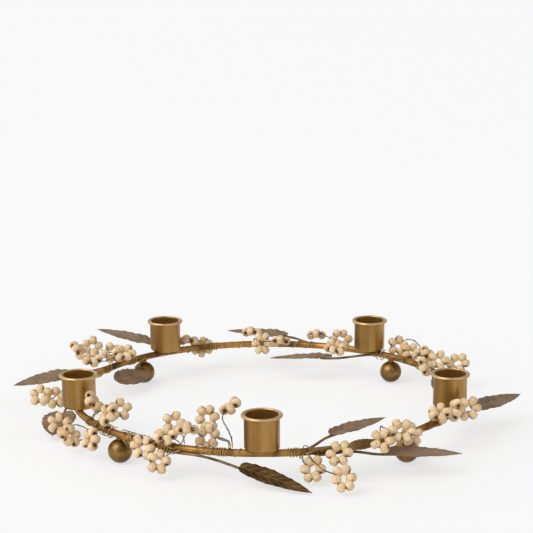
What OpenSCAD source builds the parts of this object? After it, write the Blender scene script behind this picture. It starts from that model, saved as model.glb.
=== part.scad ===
// Candle ring: a round rod on ball feet, with candle cups, metal leaves and sprays of wooden beads on wire.
// Millimetres. The origin is on the floor under the ring's centre, +Z is up and -Y is the front.

/* [Ring] */
// Radius of the ring's centreline
ring_r = 151; // [145:1:165]
// Diameter of the round rod
rod_d = 5.5; // [4.5:0.25:6.5]

/* [Candle cups] */
// Outer diameter of a cup's wall
cup_d = 25.8; // [24:0.2:29]
// Thickness of a cup's wall
cup_wall = 0.9; // [0.7:0.1:1.5]
// Thickness of a cup's bottom
cup_floor = 1; // [0.8:0.1:2]
// Height of a cup from its bottom to the top of its rim
cup_h = 26.2; // [22:0.2:32]
// Radius of the rounded bottom corner
cup_corner = 2; // [1:0.25:3]
// Diameter of the roll round the rim
rim_roll_d = 2.4; // [2:0.1:3]
// Height of the solder seat between the rod and a cup
saddle_h = 0.5; // [0.3:0.1:1]
// Diameter of the solder seat
saddle_d = 7; // [6:0.25:9]
// How far inside the rod's centreline the cups and feet stand
seat_inset = 1; // [0:0.25:1.5]

/* [Feet] */
// Diameter of a ball foot
ball_d = 18.3; // [16:0.1:22]
// Diameter of the small flat that a ball stands on
ball_flat_d = 3; // [2:0.25:5]
// Height of the bare neck between a ball and the rod
neck_h = 1; // [0.6:0.1:3]
// Diameter of the neck
neck_d = 5; // [4.2:0.1:6]
// Diameter of the pin below the neck
pin_d = 3; // [2:0.1:3.6]
// Depth of the pin in the ball
pin_depth = 6; // [3:0.5:8]

/* [Leaves] */
// Length of a full leaf
leaf_len = 56; // [50:1:60]
// Width of a full leaf
leaf_w = 16; // [13:0.5:18]
// Thickness of the leaf sheet
leaf_t = 0.6; // [0.4:0.05:0.8]
// Height of the ripple along a leaf's edges
leaf_ripple = 0.5; // [0:0.1:0.8]
// Diameter of a leaf's stem
stem_d = 2.2; // [1.6:0.1:2.6]

/* [Beads] */
// Diameter of a wooden bead
bead_d = 7; // [6:0.1:7.4]
// Length of a bead between its flat ends, as a share of its diameter
bead_share = 0.8; // [0.72:0.02:0.84]
// Diameter of the hole through a bead
bead_hole_d = 2; // [1.8:0.1:2.4]
// Gap between neighbouring beads of a loop
bead_gap = 0.1; // [0.05:0.05:0.3]

/* [Wire] */
// Diameter of the wire loops through the beads
loop_wire_d = 0.8; // [0.6:0.05:0.9]
// Diameter of the twigs that carry the loops
twig_d = 1; // [0.7:0.05:1.1]
// Diameter of the wire wound round the rod
wind_wire_d = 0.7; // [0.5:0.05:0.9]

/* [Hidden] */
LEAF_NODES = [for (i = [1:12]) str("leaf_", i)];
STEM_NODES = [for (i = [1:12]) str("leaf_stem_", i)];
CUP_NODES = [for (i = [1:5]) str("candle_cup_", i)];
BALL_NODES = [for (i = [1:4]) str("foot_ball_", i)];
BEAD_NODES = [for (i = [1:12]) str("beads_", i)];
WIRE_NODES = [for (i = [1:12]) str("spray_wire_", i)];

// Angles round the ring are measured from the front, positive towards +X.
cup_angles = [0, 72, 144, -144, -72];
foot_angles = [45, 135, -135, -45];

fit_gap = 0.05;
touch_gap = 0.1;
rod_r = rod_d / 2;
ball_r = ball_d / 2;
ball_z = sqrt(ball_r * ball_r - ball_flat_d * ball_flat_d / 4);
ring_z = ball_z + ball_r + neck_h + rod_r;
seat_r = ring_r - seat_inset;
cup_z = ring_z + rod_r + saddle_h;
brass = "#a5803d";
bronze = "#7d6248";
wood = "#e3c49a";
steel = "#4c463c";

// Leaves: [angle of the base, out from the rod's centre, up from it, heading, rise, roll, length share, width share]
// A heading is a compass angle like the ring's own, a rise lifts the tip, and a roll lifts the left edge.
leaves = [
    [-108, 18, 1.5, -64, -3, -22, 0.9, 0.95],
    [-145.5, 25, 2, -113, 9, -15, 1.03, 0.9],
    [-114, -12.8, -5.5, 144, -6, 42, 0.9, 1.08],
    [174, 15, 4, -106, 2, -15, 1, 0.85],
    [154, -24, -2, -93, 0, -3, 0.95, 0.95],
    [77, 14, -3, 129, 4, 14, 0.97, 1.1],
    [20.8, -14, 6.5, 122, 7, 12, 0.88, 0.85],
    [32, 12, -4, 94, -0.5, 10, 1.03, 1.05],
    [-6, 2, -10, 61, -8, 32, 1.05, 0.84],
    [-80.5, 10, -9, -8, -12, 3, 0.58, 1.75],
    [23.5, 4.9, 2.4, 116, 0, 62, 0.5, 0.5],
    [100.5, -12, 1.5, 1, -1.5, -34, 0.82, 0.7]
];

// Stems: [angle where a stem starts beside the rod, angle where it leaves, side of the rod, weld from, weld to]
// Side 0 is outside, 90 is on top and 180 is inside. A weld runs between two shares of the leaf's length.
stems = [
    [-132.5, -121, 0, 0, 0.2],
    [-166, -155, 0, 0, 0.2],
    [-143, -134, 180, 0.55, 0.35],
    [153, 164, 0, 0, 0.2],
    [128, 139, 180, 0, 0.2],
    [51, 62, 0, 0, 0.2],
    [2, 11, 180, 0, 0.2],
    [14, 23, -30, 0, 0.2],
    [-29.6, -19, -45, 0, 0.2],
    [-97, -87, 0, 0, 0.2],
    [13, 22, 35, 0, 0.2],
    [124, 113, 180, 0, 0.2]
];

// Sprays: [angle where the wire starts round the rod, turns, pitch, lowest side that its twigs leave from,
// stem that the wire binds to the rod]. Stem 0 means that it goes round the bare rod.
sprays = [
    [-92, 4, 1.8, 60, 10],
    [-56.8, 4, 1.8, 0, 0],
    [-62, 3, 2, -45, 0],
    [-131.5, 4, 2, 60, 1],
    [-163, 4, 2, 60, 2],
    [180, 4, 1.8, -45, 0],
    [155, 4, 1.8, 60, 4],
    [117, 5, 1.8, -45, 12],
    [57.5, 4, 2, 80, 6],
    [33.75, 4, 1.8, 60, 0],
    [7, 4, 2.2, 0, 7],
    [-29, 5, 2.4, 0, 9],
    [-12.5, 4, 1.8, 60, 0]
];

// Loops of beads: [spray, ring angle, out from the rod's centre, up from it, facing, lean, beads, turn, gap]
// Facing is the compass angle that a loop looks to, and lean is how far it looks up. Its twig comes in at the gap
// between two beads that is nearest to the rod, or so many gaps further round.
loops = [
    [1, -93, 31, -5, -15, 30, 5, 20, 0],
    [1, -87, 17, -1, 15, 25, 6, 10, 0],
    [2, -60, 17, -9, 50, 35, 5, 0, 0],
    [2, -70, 16, -8, 0, 25, 6, 30, 0],
    [2, -52, 11.5, -6, -45, 20, 5, 10, 0],
    [3, -61, -4, 14, 90, 40, 5, 0, 0],
    [3, -50, 0, 12, -60, 30, 5, 0, 0],
    [3, -56, -20, 9, 20, 25, 5, 10, 0],
    [4, -128, 18, 5, 20, 25, 5, 30, 0],
    [4, -127, 38, 8, 0, 20, 5, 10, 0],
    [4, -122, 39, 8, 90, 35, 5, 0, 0],
    [4, -124, -6, 11, 0, 62, 6, 0, 0],
    [4, -120, 20, 5, 10, 65, 5, 0, 0],
    [5, -159, 11, -3, 0, 20, 6, 30, 0],
    [5, -154, 7, 6, 180, 75, 5, 0, 0],
    [6, -175, 5, 10, 180, 80, 5, 0, 0],
    [6, 175, -19, 8, 180, 75, 4, 0, 1],
    [6, -178, -13, 4, 0, 20, 6, 0, 0],
    [7, 164, 4, 9, 180, 75, 4, 0, 0],
    [7, 157, 14, 4, 10, 20, 6, 0, 0],
    [7, 153, -21, 6, 0, 70, 6, 0, 0],
    [8, 118, 12.5, 5, 0, 30, 5, 0, 0],
    [8, 123, 11, 6, 75, 25, 5, 0, 0],
    [8, 131, 13, 4, 0, 55, 5, 0, 0],
    [8, 109, -13, 9, 60, 25, 4, 0, 0],
    [8, 117, 29.5, 1, -10, 25, 6, 0, 0],
    [8, 136, 11, 7, 10, 25, 5, 0, 1],
    [9, 56, 7, 10, 0, 65, 5, 0, 0],
    [9, 61, 13, 10, -70, 25, 5, 0, 0],
    [9, 65.5, 19, 8, 10, 25, 6, 0, -1],
    [10, 31, 16, 7, -10, 25, 5, 0, 1],
    [10, 37, 16, 11, 0, 25, 6, 0, 0],
    [10, 42, 11, 4, 40, 25, 5, 0, 0],
    [11, 13, 10, -10, 0, 35, 6, 0, 0],
    [11, 20, 10, 0, 0, 20, 6, 0, 0],
    [11, 18, 35, -10, 0, 35, 6, 10, 0],
    [12, -33, 8, -1, -20, 20, 6, 0, 0],
    [12, -29, -17, 12, 0, 20, 5, 0, 0],
    [12, -27, 3, 9, 0, 75, 5, 0, 0],
    [12, -27, 13, -8, 10, 30, 5, 0, 0],
    [12, -21, -1, 15, 180, 80, 4, 0, 0],
    [13, -17, -15, 5, 0, 20, 6, 20, 0],
    [13, -20, -32, 14, 0, 20, 6, 10, 0],
    [13, -14, -52, 18, -90, 60, 5, 0, 0]
];

// The two sprays left of the front cup are a double spray and share their nodes
function node_of(spray) = min(spray, 12);

// Directions and places on the ring
function outward(a) = [sin(a), -cos(a), 0];
function along(a) = [cos(a), sin(a), 0];
function at_ring(a, out, up) = outward(a) * (ring_r + out) + [0, 0, ring_z + up];
function arc_deg(length) = length / ring_r * 180 / PI;
function unit(v) = v / norm(v);

// Places and directions in a frame [origin, x, y, z]
function in_frame(f, p) = f[0] + f[1] * p[0] + f[2] * p[1] + f[3] * p[2];

// Frame of a loop: its z axis looks along facing and lean
function loop_frame(l) =
    let (look = outward(l[4]) * cos(l[5]) + [0, 0, sin(l[5])], side = along(l[4]))
    [at_ring(l[1], l[2], l[3]), side, cross(look, side), look];

// Frame of a leaf: x is its left side, y runs to the tip and z is its upper face
function leaf_frame(l) =
    let (
        tip = outward(l[3]) * cos(l[4]) + [0, 0, sin(l[4])],
        left = along(l[3]),
        up = cross(tip, left)
    )
    [at_ring(l[0], l[1], l[2]), left * cos(l[5]) + up * sin(l[5]), tip, up * cos(l[5]) - left * sin(l[5])];

// Radius on which the beads of a loop sit, so that the neighbours' end faces just clear each other
bead_r = bead_d / 2;
bead_l = bead_d * bead_share;
bead_face_r = sqrt(bead_r * bead_r - bead_l * bead_l / 4);
function loop_r(n) = max(bead_l / 2 / tan(180 / n) + bead_face_r, bead_r / sin(180 / n)) + bead_gap;
// The wire is bent a little wider than that, so that its curve stays in the straight holes
wire_out = 0.3;
function wire_loop_r(n) = loop_r(n) + wire_out;

// The end face of a ring, cut across into rungs, so that no part of a thin bent end is a sliver
function rungs(first, n) = [for (k = [0:n / 2 - 2])
    [first + k, first + k + 1, first + n - 2 - k, first + n - 1 - k]];

// A closed skin through rings of points that all have the same even count
module loft(rings) {
    n = len(rings[0]);
    last = len(rings) - 1;
    points = [for (ring = rings) each ring];
    walls = [for (i = [0:last - 1], k = [0:n - 1])
        let (a = i * n + k, b = i * n + (k + 1) % n) each [[a, b, b + n], [a, b + n, a + n]]];
    start = [for (face = rungs(0, n)) [face[3], face[2], face[1], face[0]]];
    polyhedron(points, concat(walls, start, rungs(last * n, n)));
}

// Directions along a path, and side vectors that follow it without twisting
function path_dirs(path) = [for (i = [0:len(path) - 1])
    unit(path[min(i + 1, len(path) - 1)] - path[max(i - 1, 0)])];
function flat_to(v, dir) = unit(v - dir * (v * dir));
function path_sides(dirs, first) = [for (i = 0, side = flat_to(first, dirs[0]); i < len(dirs);
    i = i + 1, side = flat_to(side, dirs[min(i, len(dirs) - 1)])) side];

// A round wire along a path
module wire(path, d, first, sides = 6) {
    dirs = path_dirs(path);
    across = path_sides(dirs, first);
    loft([for (i = [0:len(path) - 1])
        [for (k = [0:sides - 1])
            let (turn = -360 * k / sides)
            path[i] + d / 2 * (across[i] * cos(turn) + cross(dirs[i], across[i]) * sin(turn))]]);
}

function bezier(p, t) =
    p[0] * pow(1 - t, 3) + p[1] * 3 * t * pow(1 - t, 2) + p[2] * 3 * t * t * (1 - t) + p[3] * pow(t, 3);

module ring_rod() {
    color(brass) translate([0, 0, ring_z]) rotate_extrude($fn = 180) translate([ring_r, 0]) circle(d = rod_d, $fn = 32);
}

// The rod with a little room round it, to cut what hugs it
module rod_room() {
    translate([0, 0, ring_z]) rotate_extrude($fn = 180) translate([ring_r, 0]) circle(d = rod_d + 2 * fit_gap, $fn = 32);
}

module cup_saddles() {
    color(brass) for (a = cup_angles) difference() {
        translate(outward(a) * seat_r + [0, 0, ring_z]) cylinder(h = cup_z - ring_z, d = saddle_d, $fn = 32);
        rod_room();
        translate(outward(a) * seat_r + [0, 0, ring_z - saddle_d]) cylinder(h = saddle_d + rod_r / 2, d = 2 * saddle_d, $fn = 32);
    }
}

module candle_cup(i) {
    cup_r = cup_d / 2;
    roll_r = rim_roll_d / 2;
    wall_top = cup_h - roll_r / 2;
    color(brass) translate(outward(cup_angles[i]) * seat_r + [0, 0, cup_z]) difference() {
        union() {
            rotate_extrude($fn = 64) {
                square([cup_r - cup_corner, cup_corner]);
                translate([0, cup_corner]) square([cup_r, wall_top - cup_corner]);
                intersection() {
                    translate([cup_r - cup_corner, cup_corner]) circle(r = cup_corner, $fn = 48);
                    square([cup_r, cup_corner]);
                }
            }
            rotate_extrude($fn = 64) translate([cup_r + roll_r - cup_wall / 4, cup_h - roll_r]) circle(r = roll_r, $fn = 32);
        }
        translate([0, 0, cup_floor]) cylinder(h = cup_h, r = cup_r - cup_wall, $fn = 64);
    }
}

module foot_ball(i) {
    color(brass) translate(outward(foot_angles[i]) * seat_r + [0, 0, ball_z]) difference() {
        sphere(d = ball_d, $fn = 48);
        translate([0, 0, -ball_z - ball_r]) cylinder(h = ball_r, d = ball_d, $fn = 48);
        translate([0, 0, ball_r - pin_depth - fit_gap]) cylinder(h = ball_r, d = pin_d + 2 * fit_gap, $fn = 32);
    }
}

module foot_posts() {
    color(brass) for (a = foot_angles) difference() {
        translate(outward(a) * seat_r) union() {
            translate([0, 0, ball_z + ball_r - pin_depth]) cylinder(h = pin_depth + neck_h / 2, d = pin_d, $fn = 32);
            difference() {
                translate([0, 0, ball_z]) cylinder(h = ring_z - rod_r / 2 - ball_z, d = neck_d, $fn = 32);
                translate([0, 0, ball_z]) sphere(d = ball_d + 2 * fit_gap, $fn = 48);
            }
        }
        rod_room();
    }
}

// Leaf blade: half its width along it from the blunt base at 0 to the tip at 1
function leaf_half(s) = max(0.05, pow(max(0, sin(180 * pow(min(1, s + 0.02), 0.62))), 0.75)) / 2;
function leaf_height(s, side, len, w) =
    -0.03 * len * s * s + 0.1 * w * abs(side) * (1 - s) + leaf_ripple * side * sin(1080 * s) * (1 - s);

module leaf(i) {
    l = leaves[i];
    len = leaf_len * l[6];
    w = leaf_w * l[7];
    f = leaf_frame(l);
    across = [-1, -0.5, 0, 0.5, 1];
    stations = [for (k = [0:11]) k / 11];
    color(bronze) loft([for (s = stations) concat(
        [for (side = across)
            in_frame(f, [side * w * leaf_half(s), len * s, leaf_height(s, side, len, w) + leaf_t / 2])],
        [for (k = [4:-1:0]) let (side = across[k])
            in_frame(f, [side * w * leaf_half(s), len * s, leaf_height(s, side, len, w) - leaf_t / 2])])]);
}

// Leaf stem: beside the rod from its start angle, then in a bend to the underside of its leaf
function beside_rod(a, side, d) =
    let (reach = rod_r + touch_gap + d / 2) at_ring(a, reach * cos(side), reach * sin(side));
module leaf_stem(i) {
    s = stems[i];
    f = leaf_frame(leaves[i]);
    len = leaf_len * leaves[i][6];
    below = leaf_t / 2 + touch_gap + stem_d / 2;
    weld = [for (at = [s[3], s[4]]) in_frame(f, [0, len * at, leaf_height(at, 0, len, leaf_w) - below])];
    leave = beside_rod(s[1], s[2], stem_d);
    way = along(s[1]) * sign(s[1] - s[0]);
    bend = norm(weld[0] - leave) / 3;
    run = [for (k = [0:3]) beside_rod(s[0] + (s[1] - s[0]) * k / 4, s[2], stem_d)];
    curve = [leave, leave + way * bend, weld[0] - unit(weld[1] - weld[0]) * bend, weld[0]];
    color(bronze) wire(concat(run, [for (k = [0:6]) bezier(curve, k / 6)], [weld[1]]), stem_d, outward(s[0]), 8);
}

module bead() {
    rotate_extrude($fn = 24) intersection() {
        circle(d = bead_d, $fn = 32);
        translate([bead_hole_d / 2, -bead_l / 2]) square([bead_r, bead_l]);
    }
}

module beads(i) {
    color(wood) for (l = loops) if (node_of(l[0]) == i + 1) {
        translate(at_ring(l[1], l[2], l[3])) rotate([0, 0, l[4]]) rotate([90 - l[5], 0, 0])
            for (k = [0:l[6] - 1]) rotate([0, 0, l[7] + 360 * k / l[6]])
                translate([loop_r(l[6]), 0, 0]) rotate([90, 0, 0]) bead();
    }
}

// Wire wound in a helix round the rod, and round the stem that it binds
wind_steps = 12;
wind_off = wind_wire_d / 2 + touch_gap + rod_r * (1 - cos(180 / wind_steps));
// A winding that also binds a stem lies a little looser
bound_slack = 0.15;
function wind_point(turn, bound) =
    let (
        way = [cos(turn), sin(turn)],
        side = bound == 0 ? 0 : stems[bound - 1][2],
        far = [cos(side), sin(side)] * (rod_r + touch_gap + stem_d / 2),
        off = wind_off + (bound == 0 ? 0 : bound_slack)
    )
    bound == 0 || far * way + stem_d / 2 < rod_r ? way * (rod_r + off) : far + way * (stem_d / 2 + off);
function wind_path(s) = [for (k = [0:s[1] * wind_steps])
    let (p = wind_point(360 * k / wind_steps, s[4]))
    at_ring(s[0] + arc_deg(s[2]) * k / wind_steps, p[0], p[1])];
function least_gap(path, d) = min([for (i = [0:len(path) - 1], k = [i + wind_steps / 2:1:len(path) - 1])
    norm(path[i] - path[k])]) - d;
echo(winding_least_gap = min([for (s = sprays) least_gap(wind_path(s), wind_wire_d)]));

// Twig of a loop: from the rod just past the winding to the gap between two beads that faces the rod
function twig_path(s, l, n) =
    let (
        start_a = s[0] + arc_deg(s[1] * s[2] + 1.5 + n * (twig_d + 0.4)),
        seen_side = atan2(l[3], l[2]) + (l[2] < 0 && l[3] < 0 ? 360 : 0),
        side = min(180 - s[3], max(s[3], seen_side)),
        start = beside_rod(start_a, side, twig_d),
        f = loop_frame(l),
        away = start - f[0],
        step = 360 / l[6],
        seen = atan2(away * f[2], away * f[1]),
        gap_angle = l[7] + (floor((seen - l[7]) / step) + 0.5 + l[8]) * step,
        inward = -(f[1] * cos(gap_angle) + f[2] * sin(gap_angle)),
        finish = f[0] - inward * (wire_loop_r(l[6]) + loop_wire_d / 2 + touch_gap),
        reach = norm(finish - start) / 3,
        lift = outward(start_a) * cos(side) + [0, 0, sin(side)]
    )
    [start, start + lift * reach, finish - inward * reach, finish];

module spray_wire(i) {
    color(steel) for (j = [0:len(sprays) - 1]) if (node_of(j + 1) == i + 1) {
        s = sprays[j];
        mine = [for (l = loops) if (l[0] == j + 1) l];
        wire(wind_path(s), wind_wire_d, [0, 0, 1]);
        for (n = [0:len(mine) - 1]) {
            l = mine[n];
            curve = twig_path(s, l, n);
            wire([for (k = [0:7]) bezier(curve, k / 7)], twig_d, along(s[0]));
            translate(at_ring(l[1], l[2], l[3])) rotate([0, 0, l[4]]) rotate([90 - l[5], 0, 0])
                rotate_extrude($fn = 48) translate([wire_loop_r(l[6]), 0]) circle(d = loop_wire_d, $fn = 16);
        }
    }
}

ring_rod();
cup_saddles();
foot_posts();
for (i = [0:4]) candle_cup(i);
for (i = [0:3]) foot_ball(i);
for (i = [0:11]) leaf(i);
for (i = [0:11]) leaf_stem(i);
for (i = [0:11]) beads(i);
for (i = [0:11]) spray_wire(i);
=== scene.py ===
# %% [markdown]
# # A candle ring with leaves and wooden beads
# The real object is a round steel rod on four ball feet. It carries five brass cups, twelve sheet metal
# leaves and sprays of wooden beads on thin wire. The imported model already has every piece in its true
# place, in metres. Loading it first gives a fixed frame: every finish and every finer mesh below is fitted
# to it.

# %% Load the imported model
import math

import bpy
import numpy as np
from mathutils import Matrix, Vector


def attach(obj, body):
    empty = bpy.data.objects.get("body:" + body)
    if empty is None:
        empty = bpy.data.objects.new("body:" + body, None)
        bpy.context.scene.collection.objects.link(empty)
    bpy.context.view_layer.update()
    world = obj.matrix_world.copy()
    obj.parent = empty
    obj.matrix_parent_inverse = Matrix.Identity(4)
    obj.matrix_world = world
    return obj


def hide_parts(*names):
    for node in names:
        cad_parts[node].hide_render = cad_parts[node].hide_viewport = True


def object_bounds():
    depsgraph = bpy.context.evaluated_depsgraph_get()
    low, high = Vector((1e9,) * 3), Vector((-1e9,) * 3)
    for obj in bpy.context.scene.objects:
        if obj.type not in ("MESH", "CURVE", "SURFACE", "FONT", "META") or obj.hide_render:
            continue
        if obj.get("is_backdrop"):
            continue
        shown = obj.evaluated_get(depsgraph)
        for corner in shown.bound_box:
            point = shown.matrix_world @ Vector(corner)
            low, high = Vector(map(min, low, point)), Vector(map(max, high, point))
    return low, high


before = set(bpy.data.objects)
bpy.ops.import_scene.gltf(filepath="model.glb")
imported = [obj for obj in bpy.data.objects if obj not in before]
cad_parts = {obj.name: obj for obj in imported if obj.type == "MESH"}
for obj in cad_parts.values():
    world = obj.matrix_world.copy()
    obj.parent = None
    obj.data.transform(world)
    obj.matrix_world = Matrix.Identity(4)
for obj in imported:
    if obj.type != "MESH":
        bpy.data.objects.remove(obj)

BODY = "root"
MM = 0.001
RING_R = 0.151
RING_Z = 0.021926
SPRAYS = 12
LEAVES = 12
FEET = 4
cad_low, cad_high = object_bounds()
print("nodes:", len(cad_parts), "size in mm:", [round(v / MM, 1) for v in cad_high - cad_low])

# %% [markdown]
# ## The view
# A product photo is taken from some distance with a long lens, so that the ring's far side is hardly
# smaller than its near side. The lens shift keeps the ring low in the frame, as a view camera would,
# without tilting it down.

# %% Camera
EYE = Vector((0.0221, -1.2948, 0.4085))
AIM = Vector((0.0, 0.0, 0.015))
LENS = 114.4
ROLL = math.radians(-0.4)
SHIFT = (0.00225, 0.2523)

camera_data = bpy.data.cameras.new("view_camera")
camera_data.lens = LENS
camera_data.sensor_width = 36
camera_data.shift_x, camera_data.shift_y = SHIFT
camera_data.clip_start, camera_data.clip_end = 0.05, 60
camera = bpy.data.objects.new("view_camera", camera_data)
bpy.context.scene.collection.objects.link(camera)
turn = (AIM - EYE).to_track_quat("-Z", "Y").to_matrix().to_4x4() @ Matrix.Rotation(ROLL, 4, "Z")
camera.matrix_world = Matrix.Translation(EYE) @ turn
bpy.context.scene.camera = camera
print("camera at", [round(v, 3) for v in EYE], "lens", LENS)

# %% [markdown]
# ## Floor and light
# The floor is a very large pale disc, so it fills the frame up to the top edge. The light comes from a
# plain sky with a broad bright side, because satin brass only looks round when its two sides reflect
# different light. Two wide suns give the beads and leaves a soft light side and a faint shadow on the
# floor. To the camera and in reflections most of the floor's brightness is plain white, as paper that is
# lit apart from the object.

# %% Helpers for node trees
def add(tree, kind, settings=None, **inputs):
    """Adds a node. Inputs are named after their sockets with _ for a space, or i0, i1 by number."""
    made = tree.nodes.new(kind)
    for key, value in (settings or {}).items():
        setattr(made, key, value)
    for key, value in inputs.items():
        by_number = key[0] == "i" and key[1:].isdigit()
        socket = made.inputs[int(key[1:]) if by_number else key.replace("_", " ")]
        if isinstance(value, bpy.types.NodeSocket):
            tree.links.new(value, socket)
        else:
            socket.default_value = value
    return made


def calculate(tree, operation, first, second=0.0, **settings):
    """A math node on one or two values. Returns its result."""
    return add(tree, "ShaderNodeMath", {"operation": operation, **settings}, i0=first, i1=second).outputs[0]


def multiply_parts(tree, vector, factors):
    """Returns the vector with each part multiplied by its own factor."""
    return add(tree, "ShaderNodeVectorMath", {"operation": "MULTIPLY"}, i0=vector, i1=factors).outputs[0]


def flat_length(tree, x, y):
    """Returns the length of a flat vector with these two parts."""
    flat = add(tree, "ShaderNodeCombineXYZ", X=x, Y=y)
    return add(tree, "ShaderNodeVectorMath", {"operation": "LENGTH"}, i0=flat.outputs[0]).outputs["Value"]


def mix_colours(tree, share, first, second):
    """Returns the first colour where the share is 0 and the second where it is 1."""
    return add(tree, "ShaderNodeMix", {"data_type": "RGBA"}, Factor=share, i6=first, i7=second).outputs[2]


def remap(tree, value, low, high, to_low=0.0, to_high=1.0, **settings):
    """Returns a value moved from the range low to high into the range to_low to to_high, and held in it."""
    node = add(tree, "ShaderNodeMapRange", settings, Value=value, From_Min=low, From_Max=high,
               To_Min=to_low, To_Max=to_high)
    return node.outputs[0]


def start_material(name, **values):
    """A new material whose Principled shader has these plain values on its own sockets."""
    material = bpy.data.materials.new(name)
    material.use_nodes = True
    shader = material.node_tree.nodes["Principled BSDF"]
    for key, value in values.items():
        shader.inputs[key.replace("_", " ")].default_value = value
    return material, material.node_tree, shader


# %% Floor
FLOOR_RADIUS = 30
FLOOR_CORNERS = 64
WHITE_SHARE = 0.62
floor_mesh = bpy.data.meshes.new("floor")
floor_turns = [2 * math.pi * k / FLOOR_CORNERS for k in range(FLOOR_CORNERS)]
floor_ring = [(FLOOR_RADIUS * math.cos(t), FLOOR_RADIUS * math.sin(t), 0) for t in floor_turns]
floor_mesh.from_pydata(floor_ring, [], [list(range(FLOOR_CORNERS))])
floor = bpy.data.objects.new("floor", floor_mesh)
bpy.context.scene.collection.objects.link(floor)
floor_paint, floor_tree, floor_shader = start_material("floor_paper", Roughness=0.9)
floor_grain = add(floor_tree, "ShaderNodeTexNoise", Scale=3.0, Detail=3.0)
floor_colour = mix_colours(floor_tree, floor_grain.outputs[0], (0.93, 0.93, 0.93, 1), (0.95, 0.95, 0.95, 1))
floor_tree.links.new(floor_colour, floor_shader.inputs["Base Color"])
rays = add(floor_tree, "ShaderNodeLightPath").outputs
seen = calculate(floor_tree, "MAXIMUM", rays["Is Camera Ray"], rays["Is Glossy Ray"])
seen_too = calculate(floor_tree, "MAXIMUM", seen, rays["Is Transmission Ray"])
white_part = calculate(floor_tree, "MULTIPLY", seen_too, WHITE_SHARE)
glow = add(floor_tree, "ShaderNodeEmission", Color=(1, 1, 1, 1), Strength=1.0)
paper = add(floor_tree, "ShaderNodeMixShader", Fac=white_part, i1=floor_shader.outputs[0],
            i2=glow.outputs[0])
floor_tree.links.new(paper.outputs[0], floor_tree.nodes["Material Output"].inputs["Surface"])
floor_mesh.materials.append(floor_paint)
floor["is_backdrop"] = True

# %% Sky and suns
SKY = 0.66
DIM_SIDE, BRIGHT_SIDE = 0.65, 1.5
world = bpy.data.worlds.new("studio_sky")
bpy.context.scene.world = world
world.use_nodes = True
sky = world.node_tree
sky_at = add(sky, "ShaderNodeTexCoord")
sky_parts = add(sky, "ShaderNodeSeparateXYZ", Vector=sky_at.outputs["Generated"])
side_light = remap(sky, sky_parts.outputs["X"], 0.3, -0.9, DIM_SIDE, BRIGHT_SIDE,
                   interpolation_type="SMOOTHSTEP")
sky.links.new(calculate(sky, "MULTIPLY", side_light, SKY), sky.nodes["Background"].inputs["Strength"])
sky.nodes["Background"].inputs["Color"].default_value = (1, 1, 1, 1)

# Each sun's direction, power, and width in degrees
SUNS = {"key_sun": ((-0.7, -0.5, 0.8), 1.15, 45), "fill_sun": ((0.7, -0.5, 0.7), 0.3, 70)}
for name, (direction, power, spread) in SUNS.items():
    lamp = bpy.data.lights.new(name, "SUN")
    lamp.energy = power
    lamp.angle = math.radians(spread)
    sun = bpy.data.objects.new(name, lamp)
    sun.rotation_mode = "QUATERNION"
    sun.rotation_quaternion = Vector(direction).to_track_quat("Z", "Y")
    bpy.context.scene.collection.objects.link(sun)
print("sky strength", SKY, "suns", list(SUNS))

# %% [markdown]
# ## Shared finish: patina
# Antique gold paint is never one colour. It lies thicker in some places, and handling rubs it lighter. One
# node group makes that effect for the rod, the cups, the feet, the stems and the leaves, each with its own
# two colours. Stretch draws the pattern out, as brushing does on a cup.

# %% Patina group
def shader_group(name, inputs, outputs):
    """A shader node group with named sockets: inputs are (label, type, value), outputs are (label, type)."""
    group = bpy.data.node_groups.new(name, "ShaderNodeTree")
    for label, kind, value in inputs:
        socket = group.interface.new_socket(label, in_out="INPUT", socket_type=kind)
        if value is not None:
            socket.default_value = value
    for label, kind in outputs:
        group.interface.new_socket(label, in_out="OUTPUT", socket_type=kind)
    return group, group.nodes.new("NodeGroupInput"), group.nodes.new("NodeGroupOutput")


patina, p_in, p_out = shader_group(
    "patina",
    [("At", "NodeSocketVector", None), ("Light", "NodeSocketColor", (0.5, 0.4, 0.2, 1)),
     ("Dark", "NodeSocketColor", (0.2, 0.12, 0.05, 1)), ("Patch Scale", "NodeSocketFloat", 60.0),
     ("Grain Scale", "NodeSocketFloat", 700.0), ("Stretch", "NodeSocketVector", (1, 1, 1))],
    [("Color", "NodeSocketColor"), ("Mask", "NodeSocketFloat"), ("Height", "NodeSocketFloat")])
GRAIN_SHARE = 0.18
stretched = multiply_parts(patina, p_in.outputs["At"], p_in.outputs["Stretch"])
patches = add(patina, "ShaderNodeTexNoise", Vector=stretched, Scale=p_in.outputs["Patch Scale"],
              Detail=4.0, Roughness=0.6)
patch_mask = remap(patina, patches.outputs[0], 0.36, 0.64)
grain = add(patina, "ShaderNodeTexNoise", Vector=stretched, Scale=p_in.outputs["Grain Scale"], Detail=3.0)
grain_part = remap(patina, grain.outputs[0], 0.25, 0.75, -GRAIN_SHARE, GRAIN_SHARE)
both = calculate(patina, "ADD", patch_mask, grain_part, use_clamp=True)
coat = mix_colours(patina, both, p_in.outputs["Dark"], p_in.outputs["Light"])
patina.links.new(coat, p_out.inputs["Color"])
patina.links.new(both, p_out.inputs["Mask"])
patina.links.new(grain.outputs[0], p_out.inputs["Height"])


def use_patina(tree, at, light, dark, patch_scale, grain_scale=700.0, stretch=(1, 1, 1)):
    """Adds the patina group to a material's tree."""
    return add(tree, "ShaderNodeGroup", {"node_tree": patina}, At=at, Light=light, Dark=dark,
               Patch_Scale=patch_scale, Grain_Scale=grain_scale, Stretch=stretch)


def rough_by(tree, mask, low, high):
    """Returns a roughness that runs from low to high with the mask."""
    return remap(tree, mask, 0.0, 1.0, low, high)


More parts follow.
